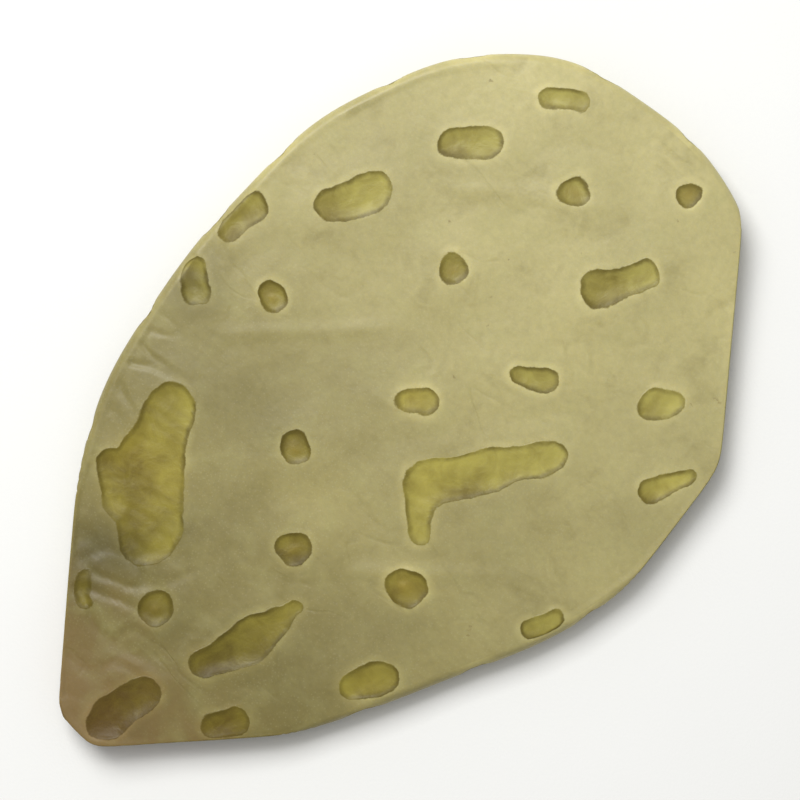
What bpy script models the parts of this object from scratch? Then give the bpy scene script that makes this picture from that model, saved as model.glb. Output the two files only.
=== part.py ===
"""A cleaned prickly pear cactus pad, cut from its plant, trimmed and lying flat.

The pad grew as one piece, so it is one solid. Units are metres and +Z is up. The origin is the
middle of the pad's footprint, on the surface that the pad lies on. +Y runs from the cut stem end
to the rounded tip, and +X is to the right as the upper face is seen from above.
"""

import math

import bmesh
import bpy
import numpy as np
from mathutils import Vector

MM = 0.001

# Driving dimensions of the pad.
PAD_LENGTH = 190 * MM  # before the stem end is cut square
PAD_WIDTH = 123 * MM
MIDDLE_THICKNESS = 9.6 * MM
RIM_THICKNESS = 4.6 * MM
STEM_END_SWELL = 2.6 * MM  # the pad is thicker again where it joined the plant
STEM_SWELL_REACH = 26 * MM

# Shape of the margin: an egg, widest above the middle, on an axis with a slight S-bend.
EGG_TAPER = 0.36
AXIS_BEND = 2.8 * MM
MARGIN_WAVES = ((9, 0.35 * MM, 0.6), (16, 0.2 * MM, 2.1))  # waves round the pad, height, phase

# Straight knife trims across the margin: direction that each faces, and distance from the centre.
STEM_TRIM = (-90, 91 * MM)
MARGIN_TRIMS = (STEM_TRIM, (8, 63.4 * MM), (40, 75.4 * MM), (-139.5, 64.6 * MM), (-41.5, 63 * MM))
TRIM_BLEND = 1.1 * MM  # softens the corners where a trim meets its neighbour
TRIM_EDGE_RADIUS = 0.5 * MM  # a trimmed edge is nearly square, an uncut one is half round

# How the soft pad lies: pressed flat under its middle, lifted a little towards its edges.
PRESSED_FLAT = 0.6 * MM
TIP_LIFT = 3.6 * MM
LEFT_LIFT = 2.2 * MM
RIGHT_LIFT = 0.9 * MM
STEM_LIFT = 0.8 * MM

# Mesh of the uncut body.
CELLS_ACROSS = 28
EDGE_STEPS = 4
MARGIN_SAMPLES = 1440

# Knife work. A pit is where one spine cushion was dug out: x, y, radius, in millimetres.
UPPER_PITS = (
    (-11.4, -13.4, 3.3),
    (4.1, -28.8, 3.9),
    (-8.3, -59.4, 3.9),
    (26.9, -17.8, 4.2),
    (-38.5, 6.5, 3.7),
    (-14.5, 38.5, 3.4),
    (-8.0, 69.0, 3.5),
    (10.0, 86.0, 2.8),
)
# A slice is where the knife slid on: start x, y, radius, then end x, y, radius, in millimetres, and
# how hard the knife pressed.
UPPER_SLICES = (
    (-37.1, -26.2, 5.0, -31.2, -38.0, 7.2, 0.9),
    (-31.2, -38.0, 7.2, -20.5, -49.8, 7.0, 1.0),
    (-37.0, -43.9, 3.6, -29.6, -50.0, 3.1, 1.3),
    (7.5, -61.0, 3.2, 11.3, -50.5, 4.8, 1.5),
    (11.3, -50.5, 4.8, 13.3, -38.2, 2.0, 1.0),
    (1.2, -84.0, 4.6, 3.2, -74.5, 3.6, 1.6),
    (-24.1, -65.6, 1.3, -20.0, -69.3, 1.5, 1.0),
    (18.4, -69.0, 2.6, 21.6, -65.0, 3.0, 1.4),
    (34.7, -41.0, 3.3, 37.3, -35.0, 3.5, 1.1),
    (14.8, 1.5, 5.5, 29.2, 25.0, 3.3, 0.8),
    (15.2, -0.6, 3.9, 20.4, -7.6, 2.3, 0.5),
    (-1.8, 11.0, 2.6, 1.4, 13.8, 2.8, 1.0),
    (36.4, 48.4, 3.2, 39.6, 51.4, 3.1, 0.8),
    (50.4, 35.1, 3.1, 53.3, 42.0, 2.3, 1.1),
    (53.0, -5.2, 2.3, 54.7, -1.0, 2.6, 1.0),
    (12.0, 32.2, 2.4, 16.4, 35.6, 2.9, 1.1),
    (-54.2, -1.9, 3.0, -50.6, -4.7, 3.4, 1.0),
    (-55.5, 11.0, 3.2, -54.8, 17.0, 3.8, 1.1),
    (-43.0, 29.5, 3.6, -38.5, 38.0, 4.4, 1.0),
    (-34.5, 57.0, 3.0, -29.5, 62.5, 3.8, 1.1),
    (11.0, 57.5, 4.4, 15.5, 67.5, 3.0, 1.2),
    (-26.0, 79.0, 2.8, -20.5, 83.5, 2.6, 1.1),
)
PIT_DEPTH = 0.7 * MM
SLICE_DEPTH = 0.6 * MM  # at a pressure of 1
WALL_LEAN = 0.8  # width of a cut's sloping wall for each unit of its depth
CUTTER_RISE = 1.5 * MM  # how far a cutter stands above the skin

# The lower face's spine cushions stood in slanting rows, as they grow, and were cut the same way.
LOWER_ROW_GAP = 27 * MM
LOWER_ROW_SLANT = 0.36
LOWER_ROW_OFFSET = (0.45, 0.5)
LOWER_SCATTER = 2.6 * MM
LOWER_MARGIN_SHARE = 0.9
LOWER_RADIUS = (3.2, 4.6)  # smallest and largest, in millimetres
LOWER_SLICE_LENGTH = (4, 15)  # the same
LOWER_PRESSURE = 1.1
LOWER_SEED = 11
CUT_SIDES = 14


def margin_point(turn):
    """The uncut margin at turn, which goes from 0 at the stem end round to 2 pi."""
    along = -np.cos(turn)
    widest = (-1 + math.sqrt(1 + 8 * EGG_TAPER**2)) / (4 * EGG_TAPER)
    peak = math.sqrt(1 - widest**2) * (1 + EGG_TAPER * widest)
    half_width = PAD_WIDTH / 2 * np.sin(turn) * (1 + EGG_TAPER * along) / peak
    wave = sum(height * np.sin(count * turn + phase) for count, height, phase in MARGIN_WAVES)
    x = half_width + AXIS_BEND * np.sin(math.pi * along) + wave * np.sin(turn)
    y = PAD_LENGTH / 2 * along - wave * np.cos(turn)
    return x, y


def margin_table():
    """Directions, distances to the trimmed margin, and how much of each a knife took off."""
    x, y = margin_point(np.linspace(0, 2 * math.pi, MARGIN_SAMPLES, endpoint=False))
    uncut = np.hypot(x, y)
    angle = np.arctan2(y, x)
    crossing = np.ones_like(uncut)
    for facing, distance in MARGIN_TRIMS:
        towards = np.cos(angle - math.radians(facing))
        reach = distance / np.maximum(towards, 0.05)
        crossing += np.exp((uncut - reach) / TRIM_BLEND)
    radius = uncut - TRIM_BLEND * np.log(crossing)
    order = np.argsort(angle)
    return angle[order], radius[order], (uncut - radius)[order]


MARGIN = margin_table()


def margin_radius(angle):
    return np.interp(angle, MARGIN[0], MARGIN[1], period=2 * math.pi)


def taken_off(angle):
    """How wide a strip of the grown margin the knife took off."""
    return np.interp(angle, MARGIN[0], MARGIN[2], period=2 * math.pi)


def half_thickness(x, y):
    share = np.minimum(np.hypot(x, y) / margin_radius(np.arctan2(y, x)), 1)
    swell = (1 - share**2) ** 0.8
    stem = np.exp(-(((y + PAD_LENGTH / 2) / STEM_SWELL_REACH) ** 2))
    return (RIM_THICKNESS + (MIDDLE_THICKNESS - RIM_THICKNESS) * swell + STEM_END_SWELL * stem) / 2


def middle_height(x, y):
    """Height of the sheet halfway between the pad's two faces."""
    across = x / (PAD_WIDTH / 2)
    along = y / (PAD_LENGTH / 2)
    lift = TIP_LIFT * np.maximum(along, 0) ** 2.4 + STEM_LIFT * np.maximum(-along, 0) ** 2
    lift = lift + np.where(across < 0, LEFT_LIFT, RIGHT_LIFT) * np.abs(across) ** 2.5
    return MIDDLE_THICKNESS / 2 - PRESSED_FLAT + lift


def face_height(x, y, side):
    """Height of the upper face, side 1, or of the lower one, side -1, which never goes below 0."""
    height = middle_height(x, y) + side * half_thickness(x, y)
    return np.maximum(height, 0)


def face_normal(x, y, side):
    step = 1 * MM
    slope_x = (face_height(x + step, y, side) - face_height(x - step, y, side)) / (2 * step)
    slope_y = (face_height(x, y + step, side) - face_height(x, y - step, side)) / (2 * step)
    return Vector((-slope_x * side, -slope_y * side, side)).normalized()


def unit_disc():
    """A square grid of points folded onto a disc, so that its rings are the square's rings."""
    steps = np.linspace(-1, 1, CELLS_ACROSS + 1)
    a, b = np.meshgrid(steps, steps, indexing="ij")
    wide = np.abs(a) > np.abs(b)
    ring = np.where(wide, a, b)
    safe = np.where(ring == 0, 1, ring)
    turn = np.where(wide, math.pi / 4 * b / safe, math.pi / 2 - math.pi / 4 * a / safe)
    return ring * np.cos(turn), ring * np.sin(turn)


def square_rim():
    """Grid places round the square's border, in order, anticlockwise."""
    n = CELLS_ACROSS
    sides = (
        [(i, 0) for i in range(n)],
        [(n, j) for j in range(n)],
        [(n - i, n) for i in range(n)],
        [(0, n - j) for j in range(n)],
    )
    return [place for side in sides for place in side]


def edge_reach(angle, rim_half):
    """How far inside the margin a face ends and the edge's curve begins."""
    return np.maximum(rim_half - taken_off(angle), TRIM_EDGE_RADIUS)


def body_mesh():
    """The pad before the knife work on its faces: two faces and the curved edge between them."""
    disc_x, disc_y = unit_disc()
    share = np.hypot(disc_x, disc_y)
    angle = np.arctan2(disc_y, disc_x)
    margin = margin_radius(angle)
    edge_half = half_thickness(margin * np.cos(angle), margin * np.sin(angle))
    distance = share * (margin - edge_reach(angle, edge_half))
    x, y = distance * np.cos(angle), distance * np.sin(angle)

    verts = []
    faces = []
    rim = square_rim()
    place = {}
    for side in (1, -1):
        z = face_height(x, y, side)
        for i in range(CELLS_ACROSS + 1):
            for j in range(CELLS_ACROSS + 1):
                place[side, i, j] = len(verts)
                verts.append((x[i, j], y[i, j], z[i, j]))
        for i in range(CELLS_ACROSS):
            for j in range(CELLS_ACROSS):
                corners = [(i, j), (i + 1, j), (i + 1, j + 1), (i, j + 1)]
                faces.append([place[side, *c] for c in corners[::side]])

    loops = [[place[1, *c] for c in rim]]
    for step in range(1, EDGE_STEPS):
        bend = math.pi / 2 - math.pi * step / EDGE_STEPS
        loops.append([])
        for i, j in rim:
            start = Vector(verts[place[1, i, j]])
            end = Vector(verts[place[-1, i, j]])
            grown = edge_half[i, j] * math.cos(bend)
            out = min(grown, edge_reach(angle[i, j], edge_half[i, j]))
            outward = Vector((math.cos(angle[i, j]), math.sin(angle[i, j]), 0))
            middle = (start + end) / 2
            loops[-1].append(len(verts))
            verts.append(middle + outward * float(out) + (start - middle) * math.sin(bend))
    loops.append([place[-1, *c] for c in rim])
    for upper, lower in zip(loops, loops[1:]):
        for k in range(len(rim)):
            after = (k + 1) % len(rim)
            faces.append([upper[k], lower[k], lower[after], upper[after]])

    mesh = bpy.data.meshes.new("cactus_pad")
    mesh.from_pydata([tuple(v) for v in verts], [], faces)
    return mesh


def knife_cutter(name, side, start, end, radii, depth):
    """A cutter for one knife stroke: the hull of four circles, two under the skin and two over it."""
    middle_x, middle_y = (start[0] + end[0]) / 2, (start[1] + end[1]) / 2
    normal = face_normal(middle_x, middle_y, side)
    sideways = normal.orthogonal().normalized()
    forward = normal.cross(sideways)
    bm = bmesh.new()
    for (x, y), radius in zip((start, end), radii):
        centre = Vector((x, y, float(face_height(x, y, side))))
        levels = (
            (-depth, radius - WALL_LEAN * depth),
            (CUTTER_RISE, radius + WALL_LEAN * CUTTER_RISE),
        )
        for height, size in levels:
            for k in range(CUT_SIDES):
                turn = 2 * math.pi * k / CUT_SIDES
                ray = sideways * math.cos(turn) + forward * math.sin(turn)
                bm.verts.new(centre + normal * height + ray * size)
    bmesh.ops.convex_hull(bm, input=bm.verts)
    loose = [v for v in bm.verts if not v.link_faces]
    bmesh.ops.delete(bm, geom=loose, context="VERTS")
    bmesh.ops.recalc_face_normals(bm, faces=bm.faces)
    mesh = bpy.data.meshes.new(name)
    bm.to_mesh(mesh)
    bm.free()
    cutter = bpy.data.objects.new(name, mesh)
    cutter.hide_render = True
    cutter.display_type = "WIRE"
    return cutter


def lower_strokes():
    """Knife strokes on the lower face, one for each spine cushion of its slanting rows."""
    draw = np.random.RandomState(LOWER_SEED)
    strokes = []
    for row in range(-4, 5):
        for column in range(-3, 4):
            scatter = draw.uniform(-LOWER_SCATTER, LOWER_SCATTER, 2)
            size = draw.uniform(*LOWER_RADIUS) * MM
            length = draw.uniform(*LOWER_SLICE_LENGTH) * MM * draw.randint(0, 2)
            turn = draw.uniform(0, math.pi)
            x = (column + LOWER_ROW_SLANT * row + LOWER_ROW_OFFSET[0]) * LOWER_ROW_GAP + scatter[0]
            y = (row * 0.8 + LOWER_ROW_OFFSET[1]) * LOWER_ROW_GAP + scatter[1]
            if math.hypot(x, y) > LOWER_MARGIN_SHARE * margin_radius(math.atan2(y, x)):
                continue
            way = (length / 2 * math.cos(turn), length / 2 * math.sin(turn))
            start, end = (x - way[0], y - way[1]), (x + way[0], y + way[1])
            depth = SLICE_DEPTH * LOWER_PRESSURE if length else PIT_DEPTH
            strokes.append((-1, start, end, (size, size * 0.8), depth))
    return strokes


def upper_strokes():
    """Knife strokes on the upper face, from the pits and slices listed above."""
    strokes = []
    for x, y, radius in UPPER_PITS:
        spot = (x * MM, y * MM)
        strokes.append((1, spot, spot, (radius * MM, radius * MM), PIT_DEPTH))
    for x0, y0, radius0, x1, y1, radius1, pressure in UPPER_SLICES:
        ends = ((x0 * MM, y0 * MM), (x1 * MM, y1 * MM))
        strokes.append((1, *ends, (radius0 * MM, radius1 * MM), SLICE_DEPTH * pressure))
    return strokes


def skin_material():
    material = bpy.data.materials.new("brined_pad_skin")
    material.use_nodes = True
    shader = material.node_tree.nodes["Principled BSDF"]
    shader.inputs["Base Color"].default_value = (0.36, 0.34, 0.16, 1)
    shader.inputs["Roughness"].default_value = 0.42
    shader.inputs["Metallic"].default_value = 0
    return material


def footprint_middle():
    """Middle of the margin's extent in X and Y."""
    x, y = MARGIN[1] * np.cos(MARGIN[0]), MARGIN[1] * np.sin(MARGIN[0])
    return (x.min() + x.max()) / 2, (y.min() + y.max()) / 2


def main():
    for thing in list(bpy.data.objects):
        bpy.data.objects.remove(thing)
    collection = bpy.context.scene.collection
    pad = bpy.data.objects.new("cactus_pad", body_mesh())
    pad.data.materials.append(skin_material())
    collection.objects.link(pad)

    knife_work = bpy.data.collections.new("knife_work")
    collection.children.link(knife_work)
    for number, (side, *stroke) in enumerate(upper_strokes() + lower_strokes()):
        face = "upper" if side > 0 else "lower"
        cutter = knife_cutter(f"{face}_stroke_{number:02d}", side, *stroke)
        knife_work.objects.link(cutter)
        cutter.parent = pad
    cut = pad.modifiers.new("knife_work", "BOOLEAN")
    cut.operation = "DIFFERENCE"
    cut.operand_type = "COLLECTION"
    cut.collection = knife_work
    cut.solver = "EXACT"

    middle_x, middle_y = footprint_middle()
    pad.location = (-middle_x, -middle_y, 0)
    pad.data.shade_smooth()
    pad.data.set_sharp_from_angle(angle=math.radians(30))


main()
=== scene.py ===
# %% [markdown]
# # A cleaned prickly pear pad
#
# The object is one pad of a prickly pear cactus, as it comes out of its brine: the spines have been
# cut out, the stem end has been trimmed and the green has turned to khaki. The pad grew as one
# piece, so it is made as one mesh with one material.
#
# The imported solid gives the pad's true size, its place and its plain shape. This script follows the
# same outline and thickness with far more points, and adds what a hand would feel and an eye would
# see: the swollen ring round each cut, the curled lip of skin, the knife marks and the wet flesh.

# %% Load the frame
import math

import bpy
import numpy as np
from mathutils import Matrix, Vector, noise


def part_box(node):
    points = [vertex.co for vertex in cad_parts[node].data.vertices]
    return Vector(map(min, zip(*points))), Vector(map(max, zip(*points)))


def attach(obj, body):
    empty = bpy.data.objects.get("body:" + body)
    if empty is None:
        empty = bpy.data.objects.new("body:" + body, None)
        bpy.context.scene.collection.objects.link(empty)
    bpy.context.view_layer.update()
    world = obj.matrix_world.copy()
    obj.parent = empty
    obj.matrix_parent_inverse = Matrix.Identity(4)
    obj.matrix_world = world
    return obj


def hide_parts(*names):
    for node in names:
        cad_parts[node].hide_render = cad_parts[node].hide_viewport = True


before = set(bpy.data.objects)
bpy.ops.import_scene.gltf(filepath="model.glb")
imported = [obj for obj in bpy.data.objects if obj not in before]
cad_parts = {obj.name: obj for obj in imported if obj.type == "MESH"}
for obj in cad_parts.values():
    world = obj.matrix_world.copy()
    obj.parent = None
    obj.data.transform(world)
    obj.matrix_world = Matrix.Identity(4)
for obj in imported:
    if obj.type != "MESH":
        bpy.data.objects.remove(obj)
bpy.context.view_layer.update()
pad_low, pad_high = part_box("cactus_pad")
print("the solid measures", [round(v * 1000, 1) for v in pad_high - pad_low], "mm")

# %% [markdown]
# ## The outline
#
# A pad is a flattened stem. It grows as an egg that is narrow at the stem and widest above its
# middle. An egg is an ellipse whose width changes along its length, so one formula draws it. A
# slight bend of the axis and two small waves keep it from looking turned on a lathe. The cook's
# knife then took straight strips off: each strip is a line that limits how far the outline reaches.
# Working in millimetres keeps the numbers readable; the mesh is scaled to metres at the end.

# %% The grown margin and the trimmed one
MM = 0.001
PAD_LENGTH = 190.0
PAD_WIDTH = 123.0
EGG_TAPER = 0.36
AXIS_BEND = 2.8
MARGIN_WAVES = ((9, 0.35, 0.6), (16, 0.2, 2.1))  # waves round the pad, height, phase
STEM_TRIM = (-90, 91.0)  # the way it faces, in degrees, and its distance from the centre
MARGIN_TRIMS = (STEM_TRIM, (8, 63.4), (40, 75.4), (-139.5, 64.6), (-41.5, 63.0))
TRIM_BLEND = 1.1  # rounding of the corners between a trim and the grown margin
GRAZING = 0.05  # a trim is never met at a flatter slant than this
FULL_TURN = 2 * math.pi


def grown_margin(turn):
    """The uncut margin, from the stem end at turn 0 all the way round."""
    along = -np.cos(turn)
    widest = (-1 + math.sqrt(1 + 8 * EGG_TAPER**2)) / (4 * EGG_TAPER)
    peak = math.sqrt(1 - widest**2) * (1 + EGG_TAPER * widest)
    half_width = PAD_WIDTH / 2 * np.sin(turn) * (1 + EGG_TAPER * along) / peak
    wave = sum(height * np.sin(count * turn + phase) for count, height, phase in MARGIN_WAVES)
    x = half_width + AXIS_BEND * np.sin(math.pi * along) + wave * np.sin(turn)
    y = PAD_LENGTH / 2 * along - wave * np.cos(turn)
    return x, y


def trimmed_margin(samples=2880):
    """For each direction from the centre: how far the pad reaches, and how much was cut off."""
    x, y = grown_margin(np.linspace(0, FULL_TURN, samples, endpoint=False))
    grown = np.hypot(x, y)
    angle = np.arctan2(y, x)
    crossing = np.ones_like(grown)
    for facing, distance in MARGIN_TRIMS:
        towards = np.cos(angle - math.radians(facing))
        crossing += np.exp((grown - distance / np.maximum(towards, GRAZING)) / TRIM_BLEND)
    taken = TRIM_BLEND * np.log(crossing)
    order = np.argsort(angle)
    return angle[order], (grown - taken)[order], taken[order]


MARGIN = trimmed_margin()


def margin_radius(angle):
    return np.interp(angle, MARGIN[0], MARGIN[1], period=FULL_TURN)


def taken_off(angle):
    """How many millimetres of the grown margin a knife took off."""
    return np.interp(angle, MARGIN[0], MARGIN[2], period=FULL_TURN)


outline = np.stack([MARGIN[1] * np.cos(MARGIN[0]), MARGIN[1] * np.sin(MARGIN[0])])
print("the outline measures", np.round(np.ptp(outline, axis=1), 1), "mm")

# %% [markdown]
# The solid's origin is the middle of its footprint, so the outline is moved by its own middle. The
# two boxes should then agree to a few hundredths of a millimetre.

# %% Place the outline on the solid
outline_middle = (outline.min(axis=1) + outline.max(axis=1)) / 2
solid_middle = np.array((pad_low + pad_high) / 2)[:2] / MM
TO_SOLID = solid_middle - outline_middle
print("the outline moves by", np.round(TO_SOLID, 2), "mm to lie on the solid")

# %% [markdown]
# ## Thickness and lie
#
# The pad is thick in its middle, thin at its rim, and thick again where it joined the plant. It is
# soft, so its own weight presses the middle flat, and its edges lift a little off the table. Both
# are smooth formulas of x and y, so the faces need no sculpting.

# %% Thickness, and the height of the sheet halfway through it
MIDDLE_THICKNESS = 9.6
RIM_THICKNESS = 4.6
SWELL_POWER = 0.8  # below 1 keeps the middle level and makes the rim fall away
STEM_END_SWELL = 2.6
STEM_SWELL_REACH = 26.0
PRESSED_FLAT = 0.6
TIP_LIFT = 3.6
LEFT_LIFT = 2.2
RIGHT_LIFT = 0.9
STEM_LIFT = 0.8
TIP_LIFT_POWER = 2.4  # above 1 lifts the edges and leaves the middle down
SIDE_LIFT_POWER = 2.5


def half_thickness(x, y):
    share = np.minimum(np.hypot(x, y) / margin_radius(np.arctan2(y, x)), 1)
    swell = (1 - share**2) ** SWELL_POWER
    stem = np.exp(-(((y + PAD_LENGTH / 2) / STEM_SWELL_REACH) ** 2))
    return (RIM_THICKNESS + (MIDDLE_THICKNESS - RIM_THICKNESS) * swell + STEM_END_SWELL * stem) / 2


def middle_height(x, y):
    across = x / (PAD_WIDTH / 2)
    along = y / (PAD_LENGTH / 2)
    ends = TIP_LIFT * np.maximum(along, 0) ** TIP_LIFT_POWER
    ends = ends + STEM_LIFT * np.maximum(-along, 0) ** 2
    sides = np.where(across < 0, LEFT_LIFT, RIGHT_LIFT) * np.abs(across) ** SIDE_LIFT_POWER
    return MIDDLE_THICKNESS / 2 - PRESSED_FLAT + (ends + sides)


highest = middle_height(0, PAD_LENGTH / 2) + half_thickness(0, PAD_LENGTH / 2)
print("the tip's upper face is", round(float(highest), 1), "mm high")

# %% [markdown]
# ## The knife work
#
# Spines grow from small cushions. The cook digs each one out with the point of a knife, which
# leaves a round pit, or shaves it off with the blade, which leaves a longer slice. A stroke is
# therefore a line with a radius at each end, and a pit is a stroke of no length. Where the strokes
# of the upper face lie is part of how this pad looks, so they are listed one by one. A stroke that
# starts where another ends, or runs close beside it, makes one larger cut with it.

# %% Strokes of the upper face, in millimetres
UPPER_PITS = (  # x, y, radius
    (-11.4, -13.4, 3.3),
    (4.1, -28.8, 3.9),
    (-8.3, -59.4, 3.9),
    (26.9, -17.8, 4.2),
    (-38.5, 6.5, 3.7),
    (-14.5, 38.5, 3.4),
    (-8.0, 69.0, 3.5),
    (10.0, 86.0, 2.8),
)
UPPER_SLICES = (  # x, y and radius where a stroke starts and ends, and how hard the knife pressed
    (-37.1, -26.2, 5.0, -31.2, -38.0, 7.2, 0.9),
    (-31.2, -38.0, 7.2, -20.5, -49.8, 7.0, 1.0),
    (-37.0, -43.9, 3.6, -29.6, -50.0, 3.1, 1.3),
    (7.5, -61.0, 3.2, 11.3, -50.5, 4.8, 1.7),
    (11.3, -50.5, 4.8, 13.3, -38.2, 2.0, 1.1),
    (1.2, -84.0, 4.6, 3.2, -74.5, 3.6, 1.8),
    (-24.1, -65.6, 1.3, -20.0, -69.3, 1.5, 1.2),
    (18.4, -69.0, 2.6, 21.6, -65.0, 3.0, 1.5),
    (34.7, -41.0, 3.3, 37.3, -35.0, 3.5, 1.1),
    (14.8, 1.5, 5.5, 29.2, 25.0, 3.3, 0.8),
    (15.2, -0.6, 3.9, 20.4, -7.6, 2.3, 0.5),
    (-1.8, 11.0, 2.6, 1.4, 13.8, 2.8, 1.0),
    (36.4, 48.4, 3.2, 39.6, 51.4, 3.1, 0.8),
    (50.4, 35.1, 3.1, 53.3, 42.0, 2.3, 1.2),
    (53.0, -5.2, 2.3, 54.7, -1.0, 2.6, 1.0),
    (12.0, 32.2, 2.4, 16.4, 35.6, 2.9, 1.1),
    (-54.2, -1.9, 3.0, -50.6, -4.7, 3.4, 1.4),
    (-55.5, 11.0, 3.2, -54.8, 17.0, 3.8, 1.2),
    (-43.0, 29.5, 3.6, -38.5, 38.0, 4.4, 1.0),
    (-34.5, 57.0, 3.0, -29.5, 62.5, 3.8, 1.1),
    (11.0, 57.5, 4.4, 15.5, 67.5, 3.0, 1.2),
    (-26.0, 79.0, 2.8, -20.5, 83.5, 2.6, 1.2),
)
UPPER = [(x, y, r, x, y, r, 1.0) for x, y, r in UPPER_PITS] + list(UPPER_SLICES)
print(len(UPPER_PITS), "pits and", len(UPPER_SLICES), "slices on the upper face")

# %% [markdown]
# The cushions of the lower face grow in the same slanting rows as all of them do. Each gets one
# stroke, a pit or a slice, and a scatter keeps the rows from looking ruled. The random numbers are
# drawn in the same order as for the solid, so that both have the same cuts.

# %% Strokes of the lower face
LOWER_ROWS = range(-4, 5)
LOWER_COLUMNS = range(-3, 4)
LOWER_COLUMN_GAP = 27.0
LOWER_ROW_GAP = 0.8  # this and the next two are shares of the gap between columns
LOWER_ROW_SLANT = 0.36  # how far each row is shifted against the one before
LOWER_START = (0.45, 0.5)  # where row 0 and column 0 cross
LOWER_SCATTER = 2.6
LOWER_MARGIN_SHARE = 0.9  # of the pad's radius, past which no cushion is drawn
LOWER_RADIUS = (3.2, 4.6)
LOWER_SLICE_LENGTH = (4, 15)
LOWER_TAPER = 0.8  # a slice's radius at its end, as a share of that at its start
LOWER_PRESSURE = 1.2
LOWER_SEED = 11


def lower_face_strokes():
    """One stroke for each cushion of the slanting rows that lies inside the margin."""
    draw = np.random.RandomState(LOWER_SEED)
    strokes = []
    for row in LOWER_ROWS:
        for column in LOWER_COLUMNS:
            scatter = draw.uniform(-LOWER_SCATTER, LOWER_SCATTER, 2)
            size = draw.uniform(*LOWER_RADIUS)
            length = draw.uniform(*LOWER_SLICE_LENGTH) * draw.randint(0, 2)
            turn = draw.uniform(0, math.pi)
            across = column + LOWER_ROW_SLANT * row + LOWER_START[0]
            along = row * LOWER_ROW_GAP + LOWER_START[1]
            x = across * LOWER_COLUMN_GAP + scatter[0]
            y = along * LOWER_COLUMN_GAP + scatter[1]
            if math.hypot(x, y) > LOWER_MARGIN_SHARE * margin_radius(math.atan2(y, x)):
                continue
            dx, dy = length / 2 * math.cos(turn), length / 2 * math.sin(turn)
            ends = (x - dx, y - dy, size, x + dx, y + dy, size * LOWER_TAPER)
            strokes.append((*ends, LOWER_PRESSURE))
    return strokes


LOWER = lower_face_strokes()
print(len(LOWER), "strokes on the lower face")

# %% [markdown]
# ## Where the cuts are, and how deep
#
# Everything about a cut follows from one number: how far a point is from its outline, negative
# inside it. The wall, the lip, the halo and the wet flesh are all drawn from it, in the mesh and
# later in the material. Smooth noise bends the point first, so that no outline is a perfect circle.

# %% Noise, and the distance to a stroke's outline
OUTLINE_BENDS = ((7.0, 1.2), (2.4, 0.3))  # size of a bend, how far it moves the outline
LAYER_GAP = 7.31  # between two layers of the noise, so that they have no hills in common
X_LAYERS, Y_LAYERS = 1, 11
UPPER_FACE, LOWER_FACE = 0, 50  # added to every layer, so that the two faces differ


def rumple(x, y, size, layer):
    """A smooth random field, about -1 to 1, whose hills are size millimetres apart."""
    flat = zip(np.ravel(x) / size, np.ravel(y) / size)
    return np.reshape([noise.noise((a, b, layer * LAYER_GAP)) for a, b in flat], np.shape(x))


def bent(x, y, face):
    """The point moved by noise, so that the outlines wander as a hand-held knife does."""
    for number, (size, reach) in enumerate(OUTLINE_BENDS):
        x, y = (
            x + reach * rumple(x, y, size, face + X_LAYERS + 2 * number),
            y + reach * rumple(x, y, size, face + Y_LAYERS + 2 * number),
        )
    return x, y


def stroke_place(x, y, stroke):
    """Distance to a stroke's outline, and how far along it, 0 to 1, and beside it a point lies."""
    x0, y0, r0, x1, y1, r1 = stroke[:6]
    run_x, run_y = x1 - x0, y1 - y0
    square = max(run_x**2 + run_y**2, 1e-9)  # a pit has no length to divide by
    along = np.clip(((x - x0) * run_x + (y - y0) * run_y) / square, 0, 1)
    away = np.hypot(x - x0 - along * run_x, y - y0 - along * run_y)
    beside = ((x - x0) * run_y - (y - y0) * run_x) / math.sqrt(square)
    return away - (r0 + (r1 - r0) * along), along, beside


print("an outline wanders by up to", sum(reach for _, reach in OUTLINE_BENDS), "mm")

# %% [markdown]
# A blade that goes deeper leaves a wider cut, so the depth of a slice follows its radius. The blade
# is never held quite level either: each slice is deeper at its start and on one side, and runs out
# almost flush on the other. In a pit the knife's point turned round the cushion and left a small
# stub of it in the middle.
#
# Where strokes overlap, a soft minimum joins their outlines with a rounded notch. Wider weights of
# the same kind blend their floors, which leaves a soft step where two blade paths meet.

# %% The joined cuts of a face
THINNEST = 0.25  # a light cut just takes the skin off
DEPTH_PER_RADIUS = 0.06
START_DEPTH = 1.06  # depth at a slice's start and end, as shares of the rule above
END_DEPTH = 0.8
BLADE_TILT = 0.03
SHALLOWEST = 0.15
CHATTER_GAP = 2.7  # between the ridges that a shaking blade leaves
CHATTER_HEIGHT = 0.03
CHATTER_SLANT = 0.3
PIT_DEPTH = 0.65
STUB_WIDTH = 1.25
JOIN = 0.45  # rounding of the notch between two strokes
FLOOR_JOIN = 1.6  # and of the step between their floors


def stroke_depth(stroke, distance, along, beside):
    """How deep one stroke's floor lies, and how much of the cushion's stub is left there."""
    x0, y0, r0, x1, y1, r1, pressure = stroke
    length = math.hypot(x1 - x0, y1 - y0)
    if not length:
        return np.full_like(distance, PIT_DEPTH), np.exp(-(((distance + r0) / STUB_WIDTH) ** 2))
    depth = pressure * (THINNEST + DEPTH_PER_RADIUS * (r0 + (r1 - r0) * along))
    depth = depth * (START_DEPTH + (END_DEPTH - START_DEPTH) * along) + BLADE_TILT * beside
    chatter = np.sin(FULL_TURN * (along * length + CHATTER_SLANT * beside) / CHATTER_GAP)
    return np.maximum(depth + CHATTER_HEIGHT * chatter, SHALLOWEST), np.zeros_like(distance)


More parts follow.
